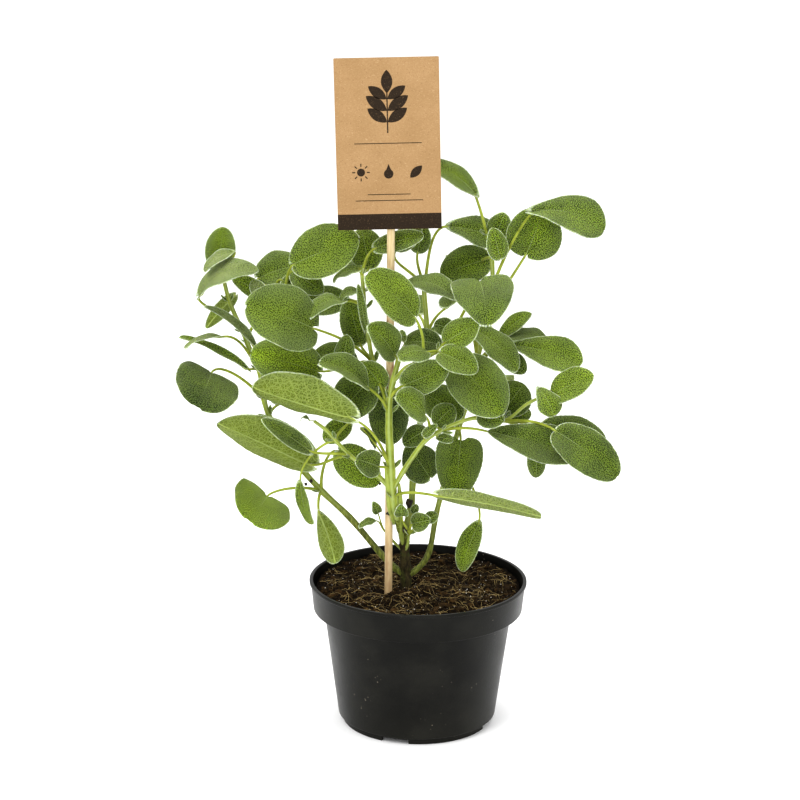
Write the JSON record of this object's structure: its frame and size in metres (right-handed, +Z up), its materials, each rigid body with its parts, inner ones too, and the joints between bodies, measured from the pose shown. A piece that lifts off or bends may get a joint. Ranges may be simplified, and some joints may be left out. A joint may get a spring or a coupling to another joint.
{
  "type": "potted sage plant",
  "caption": "Young broad-leaved culinary sage plant in a round black nursery pot, with a kraft card on a wooden stake standing in the soil.",
  "frame": {"origin": "centre of the pot's base, on the surface it stands on", "axes": "+Z up along the pot's axis, -Y towards the viewer of the card's printed face, +X to that viewer's right"},
  "size_m": [0.2916, 0.1573, 0.4643],
  "materials": {
    "plastic": "black polypropylene with a soft sheen and dust",
    "soil": "loose dark peat with coir fibres",
    "wood": "plain unpainted rod",
    "kraft": "uncoated brown kraft card",
    "bark": "brown woody stem",
    "foliage": "pebbled velvety leaves and soft green stems"
  },
  "bodies": {
    "root": {"pot": "plastic", "soil": "soil", "stake": "wood", "plant_card": "kraft", "stem_crown": "bark", "leafy_stem_centre": "foliage", "leafy_stem_right_spray": "foliage", "leafy_stem_left_spray": "foliage", "leafy_stem_upper": "foliage", "leafy_stem_back": "foliage", "leafy_stem_inner_left": "foliage", "leafy_stem_left_tall": "foliage", "leafy_stem_left_inner": "foliage", "leafy_stem_right_tall": "foliage", "basal_sprout_left": "foliage", "basal_sprout_right": "foliage"}
  },
  "joints": []
}
